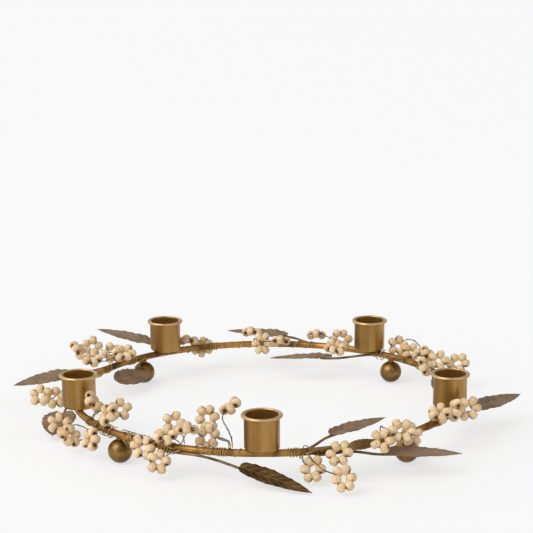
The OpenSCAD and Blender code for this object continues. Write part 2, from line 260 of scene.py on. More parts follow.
def add_bump(tree, shader, height, strength, distance):
    """Raises a material's fine relief with a height, at most by the distance in metres."""
    bump = add(tree, "ShaderNodeBump", Height=height, Strength=strength, Distance=distance)
    tree.links.new(bump.outputs["Normal"], shader.inputs["Normal"])


print("patina group:", len(patina.nodes), "nodes")

# %% [markdown]
# ## The rod, the posts and the solder seats
# The rod is painted a brown gold by hand, so its colour changes along it and dark paint has settled in
# patches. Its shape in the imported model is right, so the node stays and only gets this finish.

# %% Rod finish
def paint_node(name, material):
    """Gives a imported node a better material. Its mesh is left alone."""
    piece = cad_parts[name]
    for place in piece.material_slots:
        place.material = material


rod_paint, tree, shader = start_material("rod_paint", Metallic=0.9)
at = add(tree, "ShaderNodeTexCoord").outputs["Object"]
rod_patina = use_patina(tree, at, (0.54, 0.285, 0.078, 1), (0.14, 0.068, 0.02, 1), 45.0, 500.0)
tree.links.new(rod_patina.outputs["Color"], shader.inputs["Base Color"])
tree.links.new(rough_by(tree, rod_patina.outputs["Mask"], 0.62, 0.38), shader.inputs["Roughness"])
add_bump(tree, shader, rod_patina.outputs["Mask"], 0.5, 0.0004)
for name in ("ring_rod", "cup_saddles", "foot_posts"):
    paint_node(name, rod_paint)
print("rod finish on 3 nodes")

# %% [markdown]
# ## The cups
# Each cup is spun from thin brass, brushed up and down and then toned. Brushing leaves soft upright streaks
# of light and dark, and these streaks are also painted reflection: they stand in for the light and dark
# bands that round brass reflects. The rolled rim is polished by handling and painted a paler gold, partly
# wear and partly a painted highlight. The inside is painted a lighter gold, as painted light against the
# shade in the cup. A Mapping node moves each cup's pattern to that cup's own axis, so distance from the axis
# tells the inside from the outside.

# %% Cup finish
SEAT_R = 0.150
CUP_ANGLES = (0, 72, 144, -144, -72)
CUP_WALL_IN = 0.0122
RIM_Z = 0.0495
# The rim's paler gold is partly wear from handling and partly a painted highlight.
RIM_WEAR_AND_HIGHLIGHT = 0.75
RIM_SMOOTHER = -0.12


def on_ring(angle, radius=SEAT_R, z=0.0):
    """The point at this angle from the front of the ring, in degrees."""
    a = math.radians(angle)
    return Vector((radius * math.sin(a), -radius * math.cos(a), z))


def cup_brass(number, centre):
    """The brushed brass of one cup, about that cup's own axis."""
    material, tree, shader = start_material("cup_brass_%d" % number, Metallic=0.9)
    at = add(tree, "ShaderNodeTexCoord").outputs["Object"]
    moved = add(tree, "ShaderNodeMapping", {"vector_type": "POINT"}, Vector=at, Location=tuple(-centre))
    own = moved.outputs[0]
    # Painted reflection: the upright streaks stand in for reflected light and dark bands, besides the
    # brushed tone.
    coat = use_patina(tree, own, (0.42, 0.24, 0.075, 1), (0.22, 0.115, 0.025, 1), 60.0, 900.0, (1, 1, 0.08))
    parts = add(tree, "ShaderNodeSeparateXYZ", Vector=own)
    reach = flat_length(tree, parts.outputs["X"], parts.outputs["Y"])
    # Painted light: the inside is a lighter gold that makes up for the shade inside the cup.
    inside = remap(tree, reach, CUP_WALL_IN + 0.0002, CUP_WALL_IN - 0.0001)
    toned = mix_colours(tree, inside, coat.outputs["Color"], (0.55, 0.32, 0.09, 1))
    # Painted highlight: the rim is mixed towards a paler gold, partly as wear from handling.
    rim = remap(tree, parts.outputs["Z"], RIM_Z - 0.0004, RIM_Z + 0.001, 0.0, RIM_WEAR_AND_HIGHLIGHT)
    rim_wear_and_highlight = mix_colours(tree, rim, toned, (0.80, 0.56, 0.27, 1))
    tree.links.new(rim_wear_and_highlight, shader.inputs["Base Color"])
    smoother = add(tree, "ShaderNodeMath", {"operation": "MULTIPLY_ADD"}, i0=rim, i1=RIM_SMOOTHER,
                   i2=rough_by(tree, coat.outputs["Mask"], 0.44, 0.3))
    tree.links.new(smoother.outputs[0], shader.inputs["Roughness"])
    add_bump(tree, shader, coat.outputs["Height"], 0.12, 0.0001)
    return material


for k, angle in enumerate(CUP_ANGLES):
    paint_node("candle_cup_%d" % (k + 1), cup_brass(k + 1, on_ring(angle)))
print("cup finish on", len(CUP_ANGLES), "cups")

# %% [markdown]
# ## The ball feet
# The feet are turned balls in the same gold, a little darker, with a satin coat that shows a soft
# highlight. Low on each ball the colour is painted darker, as painted shade from the floor close below.

# %% Foot finish
BALL_TOP = 0.018
foot_bronze, tree, shader = start_material("foot_bronze", Metallic=0.9)
at = add(tree, "ShaderNodeTexCoord").outputs["Object"]
coat = use_patina(tree, at, (0.37, 0.215, 0.07, 1), (0.15, 0.08, 0.02, 1), 90.0, 800.0)
height = add(tree, "ShaderNodeSeparateXYZ", Vector=at).outputs["Z"]
# Painted shade: the colour darkens towards the bottom of each ball, where the floor shades it.
painted_floor_shade = remap(tree, height, BALL_TOP * 0.65, 0.0, 0.0, 0.9)
toned = mix_colours(tree, painted_floor_shade, coat.outputs["Color"], (0.07, 0.035, 0.012, 1))
tree.links.new(toned, shader.inputs["Base Color"])
tree.links.new(rough_by(tree, coat.outputs["Mask"], 0.36, 0.26), shader.inputs["Roughness"])
for k in range(FEET):
    paint_node("foot_ball_%d" % (k + 1), foot_bronze)
print("foot finish on", FEET, "balls")

# %% [markdown]
# ## The beads
# Each bead is a short turned wooden barrel with a drilled hole. There are more than two hundred, so one
# bead is made once and Geometry Nodes set a copy on every place. The places are measured on the packed
# beads: the centre of each loose solid, and its axis. The barrel is shorter than it is wide, so its wood
# spreads least along its axis.

# %% One bead
BEAD_SIDES = 14
# Half the outline of a lengthwise cut, as distance from the axis and place along it, in mm
BEAD_PROFILE = [(1.0, -2.5), (1.25, -2.8), (2.3, -2.85), (3.15, -2.3), (3.65, -1.2), (3.8, 0.0),
                (3.65, 1.2), (3.15, 2.3), (2.3, 2.85), (1.25, 2.8), (1.0, 2.5)]


def turned_bead():
    """A barrel turned round its hole. Its own coordinates are kept as an attribute, for the grain."""
    rows = len(BEAD_PROFILE)
    points, faces = [], []
    for k in range(BEAD_SIDES):
        turn_by = 2 * math.pi * k / BEAD_SIDES
        points += [(r * MM * math.cos(turn_by), r * MM * math.sin(turn_by), z * MM) for r, z in BEAD_PROFILE]
        here, ahead = k * rows, (k + 1) % BEAD_SIDES * rows
        for j in range(rows):
            up = (j + 1) % rows
            faces.append((here + j, ahead + j, ahead + up, here + up))
    mesh = bpy.data.meshes.new("turned_bead")
    mesh.from_pydata(points, [], faces)
    mesh.shade_smooth()
    own = mesh.attributes.new("bead_at", "FLOAT_VECTOR", "POINT")
    own.data.foreach_set("vector", np.array(points, np.float32).ravel())
    return bpy.data.objects.new("turned_bead", mesh)


bead_shape = turned_bead()
print("one bead:", len(bead_shape.data.polygons), "faces")

# %% Where the beads are
def merged_points(node):
    """The node's points without doubles, and its triangles by the numbers of their points."""
    mesh = node.data
    mesh.calc_loop_triangles()
    points = np.empty(len(mesh.vertices) * 3)
    mesh.vertices.foreach_get("co", points)
    corners = np.empty(len(mesh.loop_triangles) * 3, int)
    mesh.loop_triangles.foreach_get("vertices", corners)
    single, back = np.unique(np.round(points.reshape(-1, 3), 6), axis=0, return_inverse=True)
    triangles = back.ravel()[corners].reshape(-1, 3)
    flat = (triangles == np.roll(triangles, 1, axis=1)).any(axis=1)
    return single, triangles[~flat]


def loose_parts(count, triangles):
    """The number of the loose part that each point belongs to."""
    part = np.arange(count)
    while True:
        lowest = part[triangles].min(axis=1)
        new = part.copy()
        for corner in range(3):
            np.minimum.at(new, triangles[:, corner], lowest)
        new = new[new]
        if (new == part).all():
            return part
        part = new


def bead_places(number):
    """The centre and the axis of each packed bead. Its wood spreads least along its axis."""
    points, triangles = merged_points(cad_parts["beads_%d" % number])
    part = loose_parts(len(points), triangles)
    centres, axes = [], []
    for p in np.unique(part):
        faces = triangles[part[triangles[:, 0]] == p]
        about = points[part == p].mean(axis=0)
        a, b, c = (points[faces[:, corner]] - about for corner in range(3))
        bulk = np.einsum("ij,ij->i", a, np.cross(b, c))
        spread = sum(np.einsum("i,ij,ik->jk", bulk, v, v) for v in (a, b, c, a + b + c))
        centres.append(about + bulk @ (a + b + c) / bulk.sum() / 4)
        axes.append(np.linalg.eigh(spread)[1][:, 0])
    return np.array(centres), np.array(axes)


# %% [markdown]
# ## Squeezed loops
# On the real sprays the wire is twisted tight by hand, so no loop is a true circle. Each one is squeezed a
# little flat and its beads stand in a slight zigzag, which packs them close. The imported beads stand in
# plain circles with a small clearance. Two beads of one loop lie in one plane with their axes along its
# circle, which gives its middle. One rule then moves beads and wire alike: fully on the circle, and less
# the further a point is from it.

# %% Find the loops
SAME = 0.00015
LOOP_NEAREST, LOOP_FURTHEST = 0.004, 0.0095
NEIGHBOURS = 8
LEAST_TURN = 0.5


def loop_middle(k, centres, axes):
    """The middle of the loop that bead k belongs to, and the direction across the loop."""
    for j in np.argsort(np.linalg.norm(centres - centres[k], axis=1))[1:NEIGHBOURS + 1]:
        across = np.cross(axes[k], axes[j])
        if np.linalg.norm(across) < LEAST_TURN:
            continue
        across /= np.linalg.norm(across)
        chord = centres[j] - centres[k]
        inward = np.cross(across, axes[k])
        run = np.dot(chord, axes[j]) / np.dot(inward, axes[j])
        middle = centres[k] + inward * run
        even = abs(np.linalg.norm(middle - centres[j]) - abs(run)) < SAME
        if abs(np.dot(chord, across)) < SAME and even and LOOP_NEAREST < abs(run) < LOOP_FURTHEST:
            return middle, across
    return None, None


def find_loops(centres, axes):
    """Each loop as its middle, the direction across it and the numbers of its beads."""
    loops = []
    for k in range(len(centres)):
        middle, across = loop_middle(k, centres, axes)
        if middle is None:
            continue
        known = [loop for loop in loops if np.linalg.norm(loop["middle"] - middle) < 2 * SAME]
        if known:
            known[0]["beads"].append(k)
        else:
            loops.append({"middle": middle, "across": across, "beads": [k]})
    return loops


# %% Squeeze the loops
# A loop's short way gets this half opening, within the limits of the shares
OPENING = 0.0054
TIGHTEST, LOOSEST, LONG_WAY = 0.74, 0.94, 0.94
ZIGZAG = 0.0009
REACH = 0.004


def squeeze_rule(loop, centres, chance):
    """Adds to a loop its own two directions, its squeeze and the push of each bead."""
    spokes = centres[loop["beads"]] - loop["middle"]
    loop["radius"] = np.linalg.norm(spokes, axis=1).mean()
    loop["side"] = spokes[0] / np.linalg.norm(spokes[0])
    loop["up"] = np.cross(loop["across"], loop["side"])
    angles = np.arctan2(spokes @ loop["up"], spokes @ loop["side"])
    loop["angles"] = np.sort(angles)
    loop["push"] = ZIGZAG * (-1.0) ** np.arange(len(angles)) * chance.uniform(0.5, 1.0, len(angles))
    turn = chance.uniform(0, math.pi)
    loop["short"] = loop["side"] * math.cos(turn) + loop["up"] * math.sin(turn)
    loop["long"] = np.cross(loop["across"], loop["short"])
    loop["share"] = np.clip(OPENING / loop["radius"], TIGHTEST, LOOSEST)


def settle(points, loops):
    """Moves points the way the loops near them are squeezed."""
    moved = points.copy()
    for loop in loops:
        off = points - loop["middle"]
        angle = np.arctan2(off @ loop["up"], off @ loop["side"])
        ring = loop["radius"] * (np.outer(np.cos(angle), loop["side"]) + np.outer(np.sin(angle), loop["up"]))
        near = np.clip(2 - 2 * np.linalg.norm(off - ring, axis=1) / REACH, 0, 1)
        shift = np.outer(ring @ loop["short"], loop["short"]) * (loop["share"] - 1)
        shift += np.outer(ring @ loop["long"], loop["long"]) * (LONG_WAY - 1)
        shift += np.outer(np.interp(angle, loop["angles"], loop["push"], period=2 * math.pi), loop["across"])
        moved += shift * near[:, None]
    return moved


# %% Bead wood
wood_grain, w_in, w_out = shader_group(
    "wood_grain",
    [("At", "NodeSocketVector", None), ("Tone", "NodeSocketFloat", 0.5),
     ("Light", "NodeSocketColor", (0.8, 0.6, 0.4, 1)), ("Dark", "NodeSocketColor", (0.6, 0.4, 0.2, 1)),
     ("Scale", "NodeSocketFloat", 500.0)],
    [("Color", "NodeSocketColor"), ("Height", "NodeSocketFloat")])
TONE_SHARE = 0.3
shifted = add(wood_grain, "ShaderNodeVectorMath", {"operation": "ADD"}, i0=w_in.outputs["At"],
              i1=w_in.outputs["Tone"])
drawn = multiply_parts(wood_grain, shifted.outputs[0], (1, 1, 0.12))
streaks = add(wood_grain, "ShaderNodeTexNoise", Vector=drawn, Scale=w_in.outputs["Scale"], Detail=4.0)
streak_mask = remap(wood_grain, streaks.outputs[0], 0.35, 0.68)
toned = remap(wood_grain, w_in.outputs["Tone"], 0.0, 1.0, -TONE_SHARE, TONE_SHARE)
wood_mask = calculate(wood_grain, "ADD", streak_mask, toned, use_clamp=True)
wood_mix = mix_colours(wood_grain, wood_mask, w_in.outputs["Light"], w_in.outputs["Dark"])
wood_grain.links.new(wood_mix, w_out.inputs["Color"])
wood_grain.links.new(streaks.outputs[0], w_out.inputs["Height"])

bead_wood, tree, shader = start_material("bead_wood", Roughness=0.55)
own = add(tree, "ShaderNodeAttribute", {"attribute_name": "bead_at"}).outputs["Vector"]
tone = add(tree, "ShaderNodeAttribute", {"attribute_name": "bead_tone"}).outputs["Fac"]
grain = add(tree, "ShaderNodeGroup", {"node_tree": wood_grain}, At=own, Tone=tone, Scale=650.0,
            Light=(0.89, 0.71, 0.46, 1), Dark=(0.70, 0.47, 0.24, 1))
parts = add(tree, "ShaderNodeSeparateXYZ", Vector=own)
hole_way = flat_length(tree, parts.outputs["X"], parts.outputs["Y"])
# Painted shade: the wood is darker round the hole, where the hole and its wire shade it.
painted_hole_shade = remap(tree, hole_way, 0.0018, 0.00115)
# Painted shade: the wood darkens towards both ends, for the shaded seams between neighbouring beads.
end_way = calculate(tree, "ABSOLUTE", parts.outputs["Z"])
painted_seam_shade = remap(tree, end_way, 0.0017, 0.0029, 0.0, 0.6)
seam_shade_mix = mix_colours(tree, painted_seam_shade, grain.outputs["Color"], (0.46, 0.24, 0.09, 1))
hole_mix = mix_colours(tree, painted_hole_shade, seam_shade_mix, (0.20, 0.08, 0.025, 1))
tree.links.new(hole_mix, shader.inputs["Base Color"])
add_bump(tree, shader, grain.outputs["Height"], 0.25, 0.0002)
print("bead wood ready")

# %% Geometry Nodes that thread the beads
def geometry_tree(name, inputs):
    """A Geometry Nodes tree with these named inputs after the geometry: (label, type, value)."""
    tree = bpy.data.node_groups.new(name, "GeometryNodeTree")
    tree.interface.new_socket("Geometry", in_out="INPUT", socket_type="NodeSocketGeometry")
    tree.interface.new_socket("Geometry", in_out="OUTPUT", socket_type="NodeSocketGeometry")
    for label, kind, value in inputs:
        socket = tree.interface.new_socket(label, in_out="INPUT", socket_type=kind)
        if value is not None:
            socket.default_value = value
    return tree, tree.nodes.new("NodeGroupInput"), tree.nodes.new("NodeGroupOutput")


HALF_TURN = 3.14
LARGEST = 1.04
bead_tree, b_in, b_out = geometry_tree("thread_beads", [
    ("Bead", "NodeSocketObject", None), ("Wood", "NodeSocketMaterial", None),
    ("Tilt", "NodeSocketFloat", 0.22), ("Smallest", "NodeSocketFloat", 0.98), ("Seed", "NodeSocketInt", 1)])
bead_info = add(bead_tree, "GeometryNodeObjectInfo", Object=b_in.outputs["Bead"])
bead_axis = add(bead_tree, "GeometryNodeInputNamedAttribute", {"data_type": "FLOAT_VECTOR"}, Name="axis")
bead_turn = add(bead_tree, "FunctionNodeAlignRotationToVector", {"axis": "Z"}, Vector=bead_axis.outputs[0])
tilt_low = calculate(bead_tree, "MULTIPLY", b_in.outputs["Tilt"], -1.0)
tilt_from = add(bead_tree, "ShaderNodeCombineXYZ", X=tilt_low, Y=tilt_low, Z=-HALF_TURN)
tilt_to = add(bead_tree, "ShaderNodeCombineXYZ", X=b_in.outputs["Tilt"], Y=b_in.outputs["Tilt"], Z=HALF_TURN)
bead_tilt = add(bead_tree, "FunctionNodeRandomValue", {"data_type": "FLOAT_VECTOR"}, i0=tilt_from.outputs[0],
                i1=tilt_to.outputs[0], Seed=b_in.outputs["Seed"])
tilt_turn = add(bead_tree, "FunctionNodeEulerToRotation", Euler=bead_tilt.outputs[0])
tilted = add(bead_tree, "FunctionNodeRotateRotation", {"rotation_space": "LOCAL"},
             Rotation=bead_turn.outputs[0], Rotate_By=tilt_turn.outputs[0])
bead_size = add(bead_tree, "FunctionNodeRandomValue", {"data_type": "FLOAT"}, i2=b_in.outputs["Smallest"],
                i3=LARGEST, Seed=b_in.outputs["Seed"])
set_beads = add(bead_tree, "GeometryNodeInstanceOnPoints", Points=b_in.outputs["Geometry"],
                Instance=bead_info.outputs["Geometry"], Rotation=tilted.outputs[0],
                Scale=bead_size.outputs[1])
bead_chance = add(bead_tree, "FunctionNodeRandomValue", {"data_type": "FLOAT"}, Seed=b_in.outputs["Seed"])
bead_tone = add(bead_tree, "GeometryNodeStoreNamedAttribute", {"data_type": "FLOAT", "domain": "INSTANCE"},
                Geometry=set_beads.outputs[0], Name="bead_tone", Value=bead_chance.outputs[1])
real_beads = add(bead_tree, "GeometryNodeRealizeInstances", Geometry=bead_tone.outputs[0])
wooden = add(bead_tree, "GeometryNodeSetMaterial", Geometry=real_beads.outputs[0],
             Material=b_in.outputs["Wood"])
bead_tree.links.new(wooden.outputs[0], b_out.inputs["Geometry"])


def bake(name, mesh, tree, values):
    """Runs a tree on a mesh and keeps the result as a plain mesh object at the origin."""
    source = bpy.data.objects.new(name + "_source", mesh)
    bpy.context.scene.collection.objects.link(source)
    modifier = source.modifiers.new(tree.name, "NODES")
    modifier.node_group = tree
    sockets = {s.name: s.identifier for s in tree.interface.items_tree if s.in_out == "INPUT"}
    for label, value in values.items():
        modifier[sockets[label]] = value
    ready = source.evaluated_get(bpy.context.evaluated_depsgraph_get())
    result = bpy.data.meshes.new_from_object(ready)
    bpy.data.objects.remove(source)
    result.name = name
    piece = bpy.data.objects.new(name, result)
    bpy.context.scene.collection.objects.link(piece)
    return piece


def hand_over(piece, node):
    """The finished piece rides on the ring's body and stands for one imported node."""
    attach(piece, BODY)
    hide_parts(node)


# %% Thread the beads
# Half the short length along a bead's axis whose two ends show how the squeeze turns the bead
HALF_STEP = 0.0005
bead_count = looped_count = 0
spray_loops = {}
for k in range(1, SPRAYS + 1):
    centres, axes = bead_places(k)
    loops = find_loops(centres, axes)
    chance = np.random.default_rng(k)
    for loop in loops:
        squeeze_rule(loop, centres, chance)
        looped_count += len(loop["beads"])
    spray_loops[k] = loops
    placed = settle(centres, loops)
    ways = settle(centres + axes * HALF_STEP, loops) - settle(centres - axes * HALF_STEP, loops)
    places = bpy.data.meshes.new("bead_places")
    places.from_pydata(placed.tolist(), [], [])
    axis = places.attributes.new("axis", "FLOAT_VECTOR", "POINT")
    axis.data.foreach_set("vector", ways.astype(np.float32).ravel())
    beads = bake("wooden_beads_%d" % k, places, bead_tree,
                 {"Bead": bead_shape, "Wood": bead_wood, "Seed": k})
    hand_over(beads, "beads_%d" % k)
    bead_count += len(centres)
loop_count = sum(len(loops) for loops in spray_loops.values())
print("beads:", bead_count, "in loops:", looped_count, "loops:", loop_count)

# %% [markdown]
# ## Stems and wires
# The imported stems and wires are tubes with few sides. A copy of each is merged, rounded with a subdivision
# surface and shaken very slightly, because drawn wire that was wound and bent by hand is never quite even.
# The wires of the bead loops are round rings, so they are made anew with few faces. The twigs are free to
# bend, so they are shaken more the further they are from the rod. The turns round the rod were painted gold
# with it, and the twigs further out stayed dark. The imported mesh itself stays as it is.

# %% Geometry Nodes that round a wire
# The rod holds a wire that is this near its centreline, and a wire this far from it is free
HELD_WITHIN, FREE_BEYOND = 0.004, 0.012
wire_tree, r_in, r_out = geometry_tree("hand_bent_wire", [
    ("Merge Distance", "NodeSocketFloat", 0.00001), ("Levels", "NodeSocketInt", 1),
    ("Unevenness", "NodeSocketFloat", 0.0001), ("Unevenness Scale", "NodeSocketFloat", 160.0),
    ("Freedom", "NodeSocketFloat", 1.0), ("Paint", "NodeSocketMaterial", None)])


def way_from_rod(tree, at):
    """Returns a place's distance from the rod's centreline."""
    parts = add(tree, "ShaderNodeSeparateXYZ", Vector=at)
    beside = calculate(tree, "SUBTRACT", flat_length(tree, parts.outputs["X"], parts.outputs["Y"]), RING_R)
    above = calculate(tree, "SUBTRACT", parts.outputs["Z"], RING_Z)
    return flat_length(tree, beside, above)


joined = add(wire_tree, "GeometryNodeMergeByDistance", Geometry=r_in.outputs["Geometry"],
             Distance=r_in.outputs["Merge Distance"])
rounded = add(wire_tree, "GeometryNodeSubdivisionSurface", Mesh=joined.outputs[0],
              Level=r_in.outputs["Levels"])
wobble = add(wire_tree, "ShaderNodeTexNoise", Scale=r_in.outputs["Unevenness Scale"], Detail=1.0)
wobble_mid = add(wire_tree, "ShaderNodeVectorMath", {"operation": "SUBTRACT"}, i0=wobble.outputs["Color"],
                 i1=(0.5, 0.5, 0.5))
wire_way = way_from_rod(wire_tree, add(wire_tree, "GeometryNodeInputPosition").outputs[0])
freedom = remap(wire_tree, wire_way, HELD_WITHIN, FREE_BEYOND, 1.0, r_in.outputs["Freedom"])
wobble_size = calculate(wire_tree, "MULTIPLY", r_in.outputs["Unevenness"], freedom)
wobble_way = add(wire_tree, "ShaderNodeVectorMath", {"operation": "SCALE"}, i0=wobble_mid.outputs[0],
                 Scale=wobble_size)
uneven = add(wire_tree, "GeometryNodeSetPosition", Geometry=rounded.outputs[0], Offset=wobble_way.outputs[0])
even_shade = add(wire_tree, "GeometryNodeSetShadeSmooth", Geometry=uneven.outputs[0])
painted = add(wire_tree, "GeometryNodeSetMaterial", Geometry=even_shade.outputs[0],
              Material=r_in.outputs["Paint"])
wire_tree.links.new(painted.outputs[0], r_out.inputs["Geometry"])

# %% Stem and wire finishes
GILT_WITHIN, DARK_BEYOND = 0.005, 0.0085
stem_paint, tree, shader = start_material("stem_paint", Metallic=0.7)
at = add(tree, "ShaderNodeTexCoord").outputs["Object"]
coat = use_patina(tree, at, (0.36, 0.23, 0.10, 1), (0.11, 0.065, 0.03, 1), 110.0, 800.0)
tree.links.new(coat.outputs["Color"], shader.inputs["Base Color"])
tree.links.new(rough_by(tree, coat.outputs["Mask"], 0.6, 0.4), shader.inputs["Roughness"])
add_bump(tree, shader, coat.outputs["Height"], 0.3, 0.0002)

wire_paint, tree, shader = start_material("wire_paint", Metallic=0.6)
at = add(tree, "ShaderNodeTexCoord").outputs["Object"]
coat = use_patina(tree, at, (0.24, 0.17, 0.09, 1), (0.10, 0.07, 0.04, 1), 160.0, 900.0)
wound = remap(tree, way_from_rod(tree, at), DARK_BEYOND, GILT_WITHIN)
gilt = mix_colours(tree, wound, coat.outputs["Color"], (0.50, 0.32, 0.12, 1))
tree.links.new(gilt, shader.inputs["Base Color"])
tree.links.new(rough_by(tree, coat.outputs["Mask"], 0.6, 0.42), shader.inputs["Roughness"])

gold_wire, tree, shader = start_material("gold_wire", Metallic=0.8)
at = add(tree, "ShaderNodeTexCoord").outputs["Object"]
coat = use_patina(tree, at, (0.62, 0.41, 0.16, 1), (0.30, 0.18, 0.06, 1), 160.0, 900.0)
tree.links.new(coat.outputs["Color"], shader.inputs["Base Color"])
tree.links.new(rough_by(tree, coat.outputs["Mask"], 0.5, 0.35), shader.inputs["Roughness"])

# %% Round the stems and wires
LOOP_STEPS, LOOP_SIDES = 32, 6
# The wire lies a little outside the circle of the bead centres
LOOP_WIRE_OUT, LOOP_WIRE_R = 0.0003, 0.0004
NEAR_WIRE = 1.5 * LOOP_WIRE_R


def is_loop(points, loop):
    """Whether all these points lie on or near the wire of this loop."""
    off = points - loop["middle"]
    lift = off @ loop["across"]
    flat = np.linalg.norm(off - np.outer(lift, loop["across"]), axis=1)
    return np.hypot(flat - loop["radius"] - LOOP_WIRE_OUT, lift).max() < NEAR_WIRE


def loop_wire(loop):
    """Points and faces of a loop's wire, a ring with few sides."""
    steps = 2 * np.pi * np.arange(LOOP_STEPS) / LOOP_STEPS
    sides = 2 * np.pi * np.arange(LOOP_SIDES) / LOOP_SIDES
    along, around = (grid.ravel() for grid in np.meshgrid(steps, sides, indexing="ij"))
    reach = loop["radius"] + LOOP_WIRE_OUT + LOOP_WIRE_R * np.cos(around)
    points = loop["middle"] + np.outer(reach * np.cos(along), loop["side"])
    points += np.outer(reach * np.sin(along), loop["up"])
    points += np.outer(LOOP_WIRE_R * np.sin(around), loop["across"])
    place = np.arange(LOOP_STEPS * LOOP_SIDES).reshape(LOOP_STEPS, LOOP_SIDES)
    ahead = np.roll(place, -1, axis=0)
    faces = np.stack([place, ahead, np.roll(ahead, -1, axis=1), np.roll(place, -1, axis=1)], axis=-1)
    return points, faces.reshape(-1, 4)


def settled_wires(number):
    """A spray's twigs and windings as packed, and its loops anew, all squeezed like its beads."""
    loops = spray_loops[number]
    points, triangles = merged_points(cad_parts["spray_wire_%d" % number])
    part = loose_parts(len(points), triangles)
    kept = [p for p in np.unique(part) if not any(is_loop(points[part == p], loop) for loop in loops)]
    in_use = np.isin(part, kept)
    new_number = np.cumsum(in_use) - 1
    faces = new_number[triangles[in_use[triangles[:, 0]]]].tolist()
    points = points[in_use]
    for loop in loops:
        more_points, more_faces = loop_wire(loop)
        faces += (more_faces + len(points)).tolist()
        points = np.concatenate([points, more_points])
    mesh = bpy.data.meshes.new("settled_wires")
    mesh.from_pydata(settle(points, loops).tolist(), [], faces)
    return mesh


wire_triangles = 0
for k in range(1, LEAVES + 1):
    stem = bake("painted_stem_%d" % k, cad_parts["leaf_stem_%d" % k].data.copy(), wire_tree,
                {"Levels": 2, "Unevenness": 0.0002, "Paint": stem_paint})
    hand_over(stem, "leaf_stem_%d" % k)
for k in range(1, SPRAYS + 1):
    wires = bake("dark_wires_%d" % k, settled_wires(k), wire_tree,
                 {"Levels": 1, "Unevenness": 0.0003, "Freedom": 9.0, "Paint": wire_paint})
    hand_over(wires, "spray_wire_%d" % k)
    wires.data.calc_loop_triangles()
    wire_triangles += len(wires.data.loop_triangles)
print("wire triangles:", wire_triangles)

# %% [markdown]
# ## Loose binding wire
# Between the sprays short lengths of gold wire are wound round the rod. They tie the garland down and break
# up the smooth rod. Each follows a rule, a helix bent round the ring, so Geometry Nodes draw it from its
# two end angles and its number of turns. A little noise makes its turns as uneven as a hand leaves them.

# %% Geometry Nodes that wind the binding wire
WIND_POINTS = 90
# Noise steps in each radian of the ring, and the furthest it turns the wire, in radians
SWING_STEPS, SWING = 40.0, 2.5
wind_tree, h_in, h_out = geometry_tree("loose_binding", [
    ("Start", "NodeSocketFloat", 0.0), ("End", "NodeSocketFloat", 0.2), ("Turns", "NodeSocketFloat", 3.0),
    ("Ring Radius", "NodeSocketFloat", RING_R), ("Height", "NodeSocketFloat", RING_Z),
    ("Reach", "NodeSocketFloat", 0.0031), ("Wire Radius", "NodeSocketFloat", 0.00035),
    ("Paint", "NodeSocketMaterial", None)])
plain_line = add(wind_tree, "GeometryNodeCurvePrimitiveLine")
fine_line = add(wind_tree, "GeometryNodeResampleCurve", Curve=plain_line.outputs[0], Count=WIND_POINTS)
share = add(wind_tree, "GeometryNodeSplineParameter").outputs["Factor"]
span = calculate(wind_tree, "SUBTRACT", h_in.outputs["End"], h_in.outputs["Start"])
bearing = calculate(wind_tree, "ADD", h_in.outputs["Start"], calculate(wind_tree, "MULTIPLY", span, share))
swing_at = calculate(wind_tree, "MULTIPLY", bearing, SWING_STEPS)
swing = add(wind_tree, "ShaderNodeTexNoise", {"noise_dimensions": "1D"}, W=swing_at, Scale=1.0)
turns_now = calculate(wind_tree, "MULTIPLY", h_in.outputs["Turns"], share)
phase_even = calculate(wind_tree, "MULTIPLY", turns_now, 2 * math.pi)
swing_now = calculate(wind_tree, "MULTIPLY", swing.outputs[0], SWING)
phase_now = calculate(wind_tree, "ADD", phase_even, swing_now)
out_now = calculate(wind_tree, "MULTIPLY", calculate(wind_tree, "COSINE", phase_now), h_in.outputs["Reach"])
up_now = calculate(wind_tree, "MULTIPLY", calculate(wind_tree, "SINE", phase_now), h_in.outputs["Reach"])
radius_now = calculate(wind_tree, "ADD", h_in.outputs["Ring Radius"], out_now)
front_now = calculate(wind_tree, "MULTIPLY", radius_now, -1.0)
x_now = calculate(wind_tree, "MULTIPLY", calculate(wind_tree, "SINE", bearing), radius_now)
y_now = calculate(wind_tree, "MULTIPLY", calculate(wind_tree, "COSINE", bearing), front_now)
z_now = calculate(wind_tree, "ADD", h_in.outputs["Height"], up_now)
wire_place = add(wind_tree, "ShaderNodeCombineXYZ", X=x_now, Y=y_now, Z=z_now)
wound_line = add(wind_tree, "GeometryNodeSetPosition", Geometry=fine_line.outputs[0],
                 Position=wire_place.outputs[0])
wire_circle = add(wind_tree, "GeometryNodeCurvePrimitiveCircle", Resolution=8,
                  Radius=h_in.outputs["Wire Radius"])
wire_body = add(wind_tree, "GeometryNodeCurveToMesh", Curve=wound_line.outputs[0],
                Profile_Curve=wire_circle.outputs[0], Fill_Caps=True)
wire_real = add(wind_tree, "GeometryNodeRealizeInstances", Geometry=wire_body.outputs[0])
wire_smooth = add(wind_tree, "GeometryNodeSetShadeSmooth", Geometry=wire_real.outputs[0])
wire_gold = add(wind_tree, "GeometryNodeSetMaterial", Geometry=wire_smooth.outputs[0],
                Material=h_in.outputs["Paint"])
wind_tree.links.new(wire_gold.outputs[0], h_out.inputs["Geometry"])

